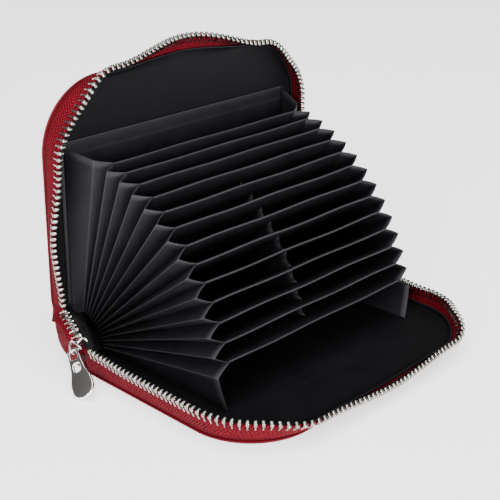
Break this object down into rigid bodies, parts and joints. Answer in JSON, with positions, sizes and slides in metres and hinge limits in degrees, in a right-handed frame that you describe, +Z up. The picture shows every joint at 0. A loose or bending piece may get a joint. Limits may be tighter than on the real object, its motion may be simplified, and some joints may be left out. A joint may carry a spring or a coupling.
{
  "type": "card wallet",
  "caption": "Red leather card wallet standing open, with a fan of accordion card pockets between two covers and a metal zip round three sides.",
  "frame": {"origin": "middle of the bounding box's bottom face, on the surface the lower cover lies on", "axes": "+X along the spine, from the zip slider's end to the far end; +Y from the lower cover's front edge to the spine; +Z up"},
  "size_m": [0.1562, 0.1224, 0.1225],
  "materials": {
    "red_leather": "smooth, lightly grained, semi-matte",
    "red_tape": "herringbone woven zip tape",
    "dark_nylon": "fine plain woven nylon",
    "dark_lining": "fine plain woven lining",
    "grey_board": "raw grey board",
    "nickel": "bright nickel plate",
    "satin_steel": "satin plate with bright bevelled rims"
  },
  "bodies": {
    "lower_cover": {"lower_leather": "red_leather", "lower_board": "grey_board", "lower_lining": "dark_lining", "lower_zip_tape": "red_tape", "lower_zip_teeth": "nickel", "lower_zip_top_stop": "nickel", "slider_body": "nickel", "slider_bridge": "nickel", "zip_bottom_stop": "nickel", "spine_leather": "red_leather", "tape_end_left": "red_tape", "tape_end_right": "red_tape", "upper_zip_run_teeth": "nickel", "upper_zip_run_tape": "red_tape", "pleat_00": "dark_nylon"},
    "page_01": {"page_01": "dark_nylon", "pleat_01": "dark_nylon"},
    "page_02": {"page_02": "dark_nylon", "pleat_02": "dark_nylon"},
    "page_03": {"page_03": "dark_nylon", "pleat_03": "dark_nylon"},
    "page_04": {"page_04": "dark_nylon", "pleat_04": "dark_nylon"},
    "page_05": {"page_05": "dark_nylon", "pleat_05": "dark_nylon"},
    "page_06": {"page_06": "dark_nylon", "pleat_06": "dark_nylon"},
    "page_07": {"page_07": "dark_nylon", "pleat_07": "dark_nylon"},
    "page_08": {"page_08": "dark_nylon", "pleat_08": "dark_nylon"},
    "page_09": {"page_09": "dark_nylon", "pleat_09": "dark_nylon"},
    "page_10": {"page_10": "dark_nylon", "pleat_10": "dark_nylon"},
    "page_11": {"page_11": "dark_nylon", "pleat_11": "dark_nylon"},
    "page_12": {"page_12": "dark_nylon", "pleat_12": "dark_nylon"},
    "page_13": {"page_13": "dark_nylon", "pleat_13": "dark_nylon"},
    "upper_cover": {"upper_leather": "red_leather", "upper_board": "grey_board", "upper_lining": "dark_lining", "upper_zip_tape": "red_tape", "upper_zip_teeth": "nickel", "upper_zip_top_stop": "nickel", "upper_slip_pocket": "dark_nylon"},
    "pull": {"zip_pull": "satin_steel"}
  },
  "joints": [
    {"name": "fold_00", "type": "hinge", "parent": "lower_cover", "child": "page_01", "pos_m": [0.00576, 0.04433, 0.00465], "axis": [-1, 0, 0], "range_deg": [-12.5, 2], "deforming": ["pleat_00", "spine_leather", "tape_end_left", "tape_end_right", "upper_zip_run_teeth", "upper_zip_run_tape"]},
    {"name": "fold_01", "type": "hinge", "parent": "page_01", "child": "page_02", "pos_m": [0.00576, 0.04484, 0.00698], "axis": [-1, 0, 0], "range_deg": [-5.33, 0.85], "deforming": ["pleat_01"]},
    {"name": "fold_02", "type": "hinge", "parent": "page_02", "child": "page_03", "pos_m": [0.00576, 0.04523, 0.00818], "axis": [-1, 0, 0], "range_deg": [-5.33, 0.85], "deforming": ["pleat_02"]},
    {"name": "fold_03", "type": "hinge", "parent": "page_03", "child": "page_04", "pos_m": [0.00576, 0.04573, 0.00935], "axis": [-1, 0, 0], "range_deg": [-5.33, 0.85], "deforming": ["pleat_03"]},
    {"name": "fold_04", "type": "hinge", "parent": "page_04", "child": "page_05", "pos_m": [0.00576, 0.04634, 0.01046], "axis": [-1, 0, 0], "range_deg": [-5.33, 0.85], "deforming": ["pleat_04"]},
    {"name": "fold_05", "type": "hinge", "parent": "page_05", "child": "page_06", "pos_m": [0.00576, 0.04704, 0.01151], "axis": [-1, 0, 0], "range_deg": [-5.33, 0.85], "deforming": ["pleat_05"]},
    {"name": "fold_06", "type": "hinge", "parent": "page_06", "child": "page_07", "pos_m": [0.00576, 0.04784, 0.01249], "axis": [-1, 0, 0], "range_deg": [-5.33, 0.85], "deforming": ["pleat_06"]},
    {"name": "fold_07", "type": "hinge", "parent": "page_07", "child": "page_08", "pos_m": [0.00576, 0.04873, 0.0134], "axis": [-1, 0, 0], "range_deg": [-5.33, 0.85], "deforming": ["pleat_07"]},
    {"name": "fold_08", "type": "hinge", "parent": "page_08", "child": "page_09", "pos_m": [0.00576, 0.0497, 0.01422], "axis": [-1, 0, 0], "range_deg": [-5.33, 0.85], "deforming": ["pleat_08"]},
    {"name": "fold_09", "type": "hinge", "parent": "page_09", "child": "page_10", "pos_m": [0.00576, 0.05074, 0.01494], "axis": [-1, 0, 0], "range_deg": [-5.33, 0.85], "deforming": ["pleat_09"]},
    {"name": "fold_10", "type": "hinge", "parent": "page_10", "child": "page_11", "pos_m": [0.00576, 0.05184, 0.01556], "axis": [-1, 0, 0], "range_deg": [-5.33, 0.85], "deforming": ["pleat_10"]},
    {"name": "fold_11", "type": "hinge", "parent": "page_11", "child": "page_12", "pos_m": [0.00576, 0.05299, 0.01608], "axis": [-1, 0, 0], "range_deg": [-5.33, 0.85], "deforming": ["pleat_11"]},
    {"name": "fold_12", "type": "hinge", "parent": "page_12", "child": "page_13", "pos_m": [0.00576, 0.05419, 0.01649], "axis": [-1, 0, 0], "range_deg": [-5.33, 0.85], "deforming": ["pleat_12"]},
    {"name": "fold_13", "type": "hinge", "parent": "page_13", "child": "upper_cover", "pos_m": [0.00576, 0.05651, 0.01705], "axis": [-1, 0, 0], "range_deg": [-12.5, 2], "deforming": ["pleat_13"]},
    {"name": "pull_swing", "type": "hinge", "parent": "lower_cover", "child": "pull", "pos_m": [-0.06753, 0.04091, 0.01203], "axis": [-0.6051, 0.5724, -0.5534], "range_deg": [0, 70]}
  ],
  "couplings": [
    {"joint": "fold_01", "follows": "fold_00", "ratio": 0.42667},
    {"joint": "fold_02", "follows": "fold_00", "ratio": 0.42667},
    {"joint": "fold_03", "follows": "fold_00", "ratio": 0.42667},
    {"joint": "fold_04", "follows": "fold_00", "ratio": 0.42667},
    {"joint": "fold_05", "follows": "fold_00", "ratio": 0.42667},
    {"joint": "fold_06", "follows": "fold_00", "ratio": 0.42667},
    {"joint": "fold_07", "follows": "fold_00", "ratio": 0.42667},
    {"joint": "fold_08", "follows": "fold_00", "ratio": 0.42667},
    {"joint": "fold_09", "follows": "fold_00", "ratio": 0.42667},
    {"joint": "fold_10", "follows": "fold_00", "ratio": 0.42667},
    {"joint": "fold_11", "follows": "fold_00", "ratio": 0.42667},
    {"joint": "fold_12", "follows": "fold_00", "ratio": 0.42667},
    {"joint": "fold_13", "follows": "fold_00", "ratio": 1}
  ]
}
